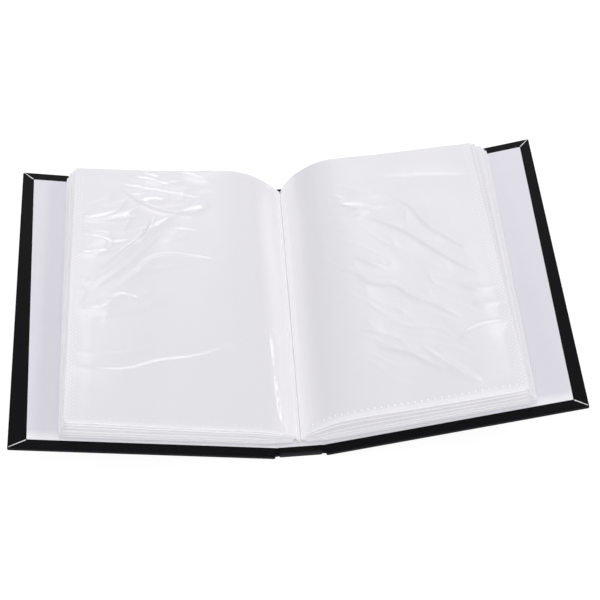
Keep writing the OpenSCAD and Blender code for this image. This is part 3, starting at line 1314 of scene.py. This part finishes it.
@dataclass
class Block:
    """All the leaves and their binding."""

    finishes: Finishes
    a_side: int = 10
    levels: dict[Side, Sequence[float]] = field(default_factory=lambda: {
        Side.FRONT: (0.0, 0.09, 0.24, 0.31, 0.45, 0.53, 0.69, 0.76, 0.9),
        Side.BACK: (0.0, 0.08, 0.21, 0.29, 0.38, 0.55, 0.62, 0.81, 0.88),
    })
    shifts: Sequence[float] = (-0.2, 0.5, -0.6, 0.3, -0.4, 0.7, -0.3, 0.5, -0.5)
    reaches: Sequence[float] = (0.995, 1.0, 0.99, 0.998, 0.988, 1.0, 0.992, 0.997, 0.989)

    FRONT_CREASES = (
        Crease(((0.73, 0.968), (0.64, 0.955), (0.555, 0.929)), 0.5, 0.9, 2.5),
        Crease(((0.52, 0.994), (0.44, 0.974), (0.36, 0.948)), 0.45, 0.9, 2.5),
        Crease(((0.80, 0.922), (0.685, 0.857), (0.57, 0.825), (0.455, 0.818), (0.36, 0.851)),
               1.0, 1.4, 7.0, True),
        Crease(((0.795, 0.935), (0.61, 0.907), (0.38, 0.868)), 0.5, 1.0, 3.0),
        Crease(((0.94, 0.51), (0.765, 0.643), (0.64, 0.747), (0.525, 0.818)), 1.0, 1.3, 4.5),
        Crease(((0.90, 0.49), (0.735, 0.604), (0.61, 0.72)), 0.6, 1.0, 2.5, True),
        Crease(((0.86, 0.47), (0.72, 0.558), (0.625, 0.63), (0.47, 0.636), (0.30, 0.617)), 0.9, 1.2, 4.0),
        Crease(((0.98, 0.779), (0.825, 0.779), (0.68, 0.795)), 0.6, 1.0, 3.5, True),
        Crease(((0.97, 0.714), (0.87, 0.701), (0.82, 0.682), (0.73, 0.701)), 0.5, 0.9, 2.5),
        Crease(((0.985, 0.636), (0.86, 0.643), (0.775, 0.672)), 0.45, 0.9, 2.5),
        Crease(((0.97, 0.412), (0.855, 0.422), (0.78, 0.474), (0.68, 0.461)), 0.55, 1.0, 3.0),
        Crease(((0.94, 0.372), (0.705, 0.416), (0.555, 0.458)), 0.5, 1.4, 6.0, True),
        Crease(((0.975, 0.195), (0.765, 0.188), (0.605, 0.227), (0.43, 0.253), (0.195, 0.328)),
               0.7, 1.6, 8.0),
        Crease(((0.97, 0.253), (0.805, 0.247), (0.64, 0.282)), 0.35, 1.0, 3.0),
        Crease(((0.70, 0.68), (0.655, 0.747), (0.63, 0.80)), 0.5, 0.9, 2.0),
        Crease(((0.60, 0.732), (0.51, 0.747), (0.40, 0.732)), 0.4, 0.9, 3.0),
        Crease(((0.78, 0.519), (0.705, 0.565), (0.625, 0.584), (0.535, 0.597), (0.435, 0.61)),
               0.35, 0.9, 2.0),
        Crease(((0.84, 0.591), (0.75, 0.662), (0.705, 0.688)), 0.35, 0.8, 1.6, True),
        Crease(((0.675, 0.727), (0.65, 0.76), (0.63, 0.799)), 0.35, 0.8, 1.4),
        Crease(((0.62, 0.708), (0.55, 0.708), (0.455, 0.721)), 0.25, 0.8, 1.4),
        Crease(((0.475, 0.799), (0.43, 0.825), (0.38, 0.838)), 0.35, 0.9, 1.8),
        Crease(((0.535, 0.818), (0.465, 0.825), (0.395, 0.851)), 0.25, 0.8, 1.5),
        Crease(((0.955, 0.76), (0.91, 0.727), (0.845, 0.721), (0.825, 0.682), (0.86, 0.643), (0.955, 0.636)),
               0.3, 0.9, 1.8),
        Crease(((0.7, 0.987), (0.63, 0.974), (0.58, 0.948)), 0.3, 0.8, 1.5),
        Crease(((0.096, 0.39), (0.091, 0.34), (0.087, 0.29), (0.081, 0.24)), 1.5, 1.9, 2.8, True),
        Crease(((0.09, 0.28), (0.078, 0.19), (0.064, 0.09), (0.044, -0.03)), 1.6, 2.2, 3.0, True, ripple=0.1),
    )
    BACK_CREASES = (
        Crease(((0.385, 0.765), (0.52, 0.714), (0.64, 0.649), (0.76, 0.552), (0.86, 0.481), (0.945, 0.43)),
               0.6, 1.0, 3.0),
        Crease(((0.555, 0.83), (0.665, 0.76), (0.72, 0.682), (0.83, 0.591), (0.915, 0.525)), 0.5, 1.0, 3.0),
        Crease(((0.30, 0.556), (0.38, 0.513), (0.43, 0.474), (0.54, 0.448), (0.6, 0.403), (0.69, 0.357),
                (0.785, 0.293)), 0.6, 1.0, 3.0),
        Crease(((0.37, 0.588), (0.445, 0.552), (0.515, 0.522)), 0.45, 1.0, 2.5),
        Crease(((0.41, 0.236), (0.48, 0.214), (0.555, 0.188), (0.615, 0.149), (0.68, 0.112)), 0.8, 1.1, 3.5),
        Crease(((0.60, 0.212), (0.715, 0.123), (0.82, 0.052)), 0.7, 1.1, 3.5, True),
        Crease(((0.365, 0.753), (0.43, 0.766), (0.49, 0.76)), 0.5, 0.9, 1.6),
        Crease(((0.755, 0.216), (0.855, 0.247), (0.98, 0.253)), 0.7, 1.2, 5.0, True),
        Crease(((0.345, 0.302), (0.4, 0.292), (0.455, 0.276)), 0.4, 0.9, 2.5),
        Crease(((0.505, 0.932), (0.575, 0.909), (0.77, 0.896), (0.99, 0.864)), 0.4, 1.2, 4.0),
        Crease(((0.36, 0.80), (0.42, 0.785), (0.49, 0.775)), 0.6, 1.4, 3.0),
        Crease(((0.80, 0.42), (0.88, 0.39), (0.97, 0.385)), 0.35, 0.9, 2.5),
        Crease(((0.84, 0.34), (0.91, 0.325), (0.98, 0.33)), 0.35, 0.9, 2.5),
    )

    FRONT_CRUMPLES = (
        Crumple((0.74, 0.80), (0.26, 0.20), math.radians(140), 0.30),
        Crumple((0.55, 0.93), (0.22, 0.07), math.radians(165), 0.30),
        Crumple((0.80, 0.47), (0.20, 0.12), math.radians(150), 0.22),
    )
    BACK_CRUMPLES = (
        Crumple((0.62, 0.55), (0.34, 0.26), math.radians(-40), 0.18),
        Crumple((0.52, 0.24), (0.24, 0.12), math.radians(-35), 0.18),
        Crumple((0.42, 0.80), (0.14, 0.07), math.radians(-20), 0.45),
    )

    # Place and height of a lower leaf's two bend ends, each with what its level adds; they are computed but
    # make no bend
    LOW_BLEND = ((6.0, -2.0, 4.0, 0.0), (17.0, 13.0, 5.4, 6.6))
    # Places and heights for bending the two uppermost leaves; they are computed but make no bend
    TURNING_BLEND = ((-14, 14), (-25.7, 22.7), (-42, 25))
    BACK_BLEND = ((12, 18), (38, 26))
    TURNING_SPLIT = 0.26
    DOTTED_STEPS = 3

    def build_low_leaf(self, side: Side, step: int) -> list[bpy.types.Object]:
        """A lower leaf of one side, which lies on its cover.

        Args:
            side: which side.
            step: its place in the stack, counted from 1 at the board.

        Returns:
            Its pieces.
        """
        number = step if side is Side.FRONT else 2 * self.a_side + 1 - step
        leaf = Leaf(
            side, number, self.levels[side][step - 1], self.finishes,
            shift=self.shifts[step - 1], reach=self.reaches[step - 1],
        )
        made = leaf.pieces(Stretch("film", dotted=step >= self.a_side - self.DOTTED_STEPS))
        start, end = (
            Vector((side.value * (x + more_x * leaf.level), 0, z + more_z * leaf.level)) * MM
            for x, more_x, z, more_z in self.LOW_BLEND
        )
        for piece in made:
            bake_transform(piece)
            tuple(start)
            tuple(end)
        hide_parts(leaf.name)
        if step == 1:
            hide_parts(f"{side.word}_margins")
        return made

    def build_turning_leaf(self) -> list[bpy.types.Object]:
        """The uppermost front leaf, made as a margin and a pocket split at its weld.

        Returns:
            Its pieces.
        """
        leaf = Leaf(
            Side.FRONT, self.a_side, 1.0, self.finishes, self.FRONT_CREASES, self.FRONT_CRUMPLES, fine=True
        )
        margin = leaf.pieces(Stretch("margin_film", high=self.TURNING_SPLIT))
        pocket = leaf.pieces(Stretch("pocket_film", low=self.TURNING_SPLIT))
        root_at, weld_at, page_at = (Vector((x, 0, z)) * MM for x, z in self.TURNING_BLEND)
        for piece in margin:
            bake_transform(piece)
            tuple(root_at)
            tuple(weld_at)
        for piece in pocket:
            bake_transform(piece)
            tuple(weld_at)
            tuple(page_at)
        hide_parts("leaf_10_margin", "leaf_10_weld")
        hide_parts("leaf_10")
        return margin + pocket

    def build_back_leaf(self) -> list[bpy.types.Object]:
        """The uppermost back leaf.

        Returns:
            Its pieces.
        """
        leaf = Leaf(
            Side.BACK, self.a_side + 1, 1.0, self.finishes, self.BACK_CREASES, self.BACK_CRUMPLES, fine=True
        )
        made = leaf.pieces(Stretch("film"))
        start, end = (Vector((x, 0, z)) * MM for x, z in self.BACK_BLEND)
        for piece in made:
            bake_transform(piece)
            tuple(start)
            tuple(end)
        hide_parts("leaf_11", "leaf_11_margin")
        return made

    def dress_binding(self) -> None:
        """Gives the glue and the turning leaf's root their finishes."""
        for node, material in (("binding", self.finishes.glue), ("leaf_10_root", self.finishes.film)):
            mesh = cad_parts[node].data
            mesh.materials.clear()
            mesh.materials.append(material)

    def build(self) -> list[bpy.types.Object]:
        """Makes the whole block.

        Returns:
            Its pieces.
        """
        self.dress_binding()
        pieces = self.build_turning_leaf() + self.build_back_leaf()
        for side in Side:
            for step in range(1, self.a_side):
                pieces += self.build_low_leaf(side, step)
        return pieces


# Studio


@dataclass(frozen=True)
class Lamp:
    """A soft rectangular light that faces the album: place and size in metres, power in watts."""

    name: str
    place: Triple
    size: Point
    power: float


@dataclass
class Studio:
    """Floor, lights, sky and camera."""

    finishes: Finishes
    azimuth: float = math.radians(-2.783)
    elevation: float = math.radians(54.173)
    roll: float = math.radians(-1.716)
    distance: float = 0.69942
    lens: float = 82.73
    sensor: float = 36.0
    clip: float = 0.01
    target: Triple = (0.00609, 0.00702, 0.0028)
    floor_size: float = 3.0
    floor_z: float = -0.0002
    lit_point: Triple = (0.0, 0.0, 0.02)
    sky_colour: Triple = (0.97, 0.98, 1.0)
    sky_front: float = 0.86
    sky_back: float = 0.14

    LAMPS = (
        Lamp("key_light", (-0.25, -0.9, 1.3), (1.2, 1.2), 3.4),
        Lamp("top_gloss", (0.0, 0.1, 1.3), (0.25, 0.25), 0.4),
        Lamp("left_gloss", (-1.0, 0.2, 0.63), (0.25, 0.25), 0.8),
        Lamp("right_gloss", (1.0, 0.2, 0.63), (0.25, 0.25), 2.4),
        Lamp("streak_gloss", (0.04, 0.475, 1.15), (0.08, 0.6), 1.9),
        Lamp("back_gloss", (0.0, 1.0, 0.62), (0.5, 0.22), 3.0),
    )

    def build_camera(self) -> None:
        """Sets the camera at the photograph's viewing angle."""
        away = Vector((
            math.sin(self.azimuth) * math.cos(self.elevation),
            -math.cos(self.azimuth) * math.cos(self.elevation),
            math.sin(self.elevation),
        ))
        right = Vector((0, 0, 1)).cross(away).normalized()
        up = away.cross(right)
        spun_right = right * math.cos(self.roll) + up * math.sin(self.roll)
        spun_up = up * math.cos(self.roll) - right * math.sin(self.roll)
        data = bpy.data.cameras.new("camera")
        data.lens = self.lens
        data.sensor_width = self.sensor
        data.clip_start = self.clip
        camera = bpy.data.objects.new("camera", data)
        turn = Matrix((spun_right, spun_up, away)).transposed().to_4x4()
        camera.matrix_world = Matrix.Translation(Vector(self.target) + away * self.distance) @ turn
        bpy.context.scene.collection.objects.link(camera)
        bpy.context.scene.camera = camera

    def build_floor(self) -> None:
        """Lays the floor under the album."""
        bm = bmesh.new()
        bmesh.ops.create_grid(bm, x_segments=2, y_segments=2, size=self.floor_size)
        floor = make_piece("studio_floor", bm, self.finishes.floor, smooth=False)
        floor.location.z = self.floor_z

    def build_light(self, lamp: Lamp) -> None:
        """Hangs one soft light.

        Args:
            lamp: its name, place, size and power.
        """
        data = bpy.data.lights.new(lamp.name, "AREA")
        data.shape = "RECTANGLE"
        data.size, data.size_y = lamp.size
        data.energy = lamp.power
        light = bpy.data.objects.new(lamp.name, data)
        place = Vector(lamp.place)
        turn = (place - Vector(self.lit_point)).to_track_quat("Z", "Y")
        light.matrix_world = Matrix.Translation(place) @ turn.to_matrix().to_4x4()
        bpy.context.scene.collection.objects.link(light)

    def build_sky(self) -> None:
        """Lights the room from all round, more from the front than from the back."""
        world = bpy.data.worlds.new("studio_sky")
        world.use_nodes = True
        sheet = NodeSheet(world.node_tree)
        way = sheet.add("ShaderNodeTexCoord", {}, {})[0]
        back = sheet.add("ShaderNodeSeparateXYZ", {}, {"Vector": way})[1]
        strength = self.sky_front + (self.sky_back - self.sky_front) * (back * 0.5 + 0.5)
        sockets = {"Color": (*self.sky_colour, 1.0), "Strength": strength}
        sky = sheet.add("ShaderNodeBackground", {}, sockets)[0]
        sheet.add("ShaderNodeOutputWorld", {}, {"Surface": sky})
        bpy.context.scene.world = world

    def build(self) -> None:
        """Makes the whole studio."""
        self.build_camera()
        self.build_floor()
        for lamp in self.LAMPS:
            self.build_light(lamp)
        self.build_sky()
        bpy.context.scene.view_settings.view_transform = "Standard"


def main() -> None:
    """Builds the studio, the case and the block, and reports each piece."""
    logging.basicConfig(level=logging.INFO, format="%(name)s: %(message)s")
    finishes = Finishes()
    Studio(finishes).build()
    for piece in Case(finishes).build() + Block(finishes).build():
        log.info("%s: %d faces", piece.name, len(piece.data.polygons))


if __name__ == "__main__":
    main()
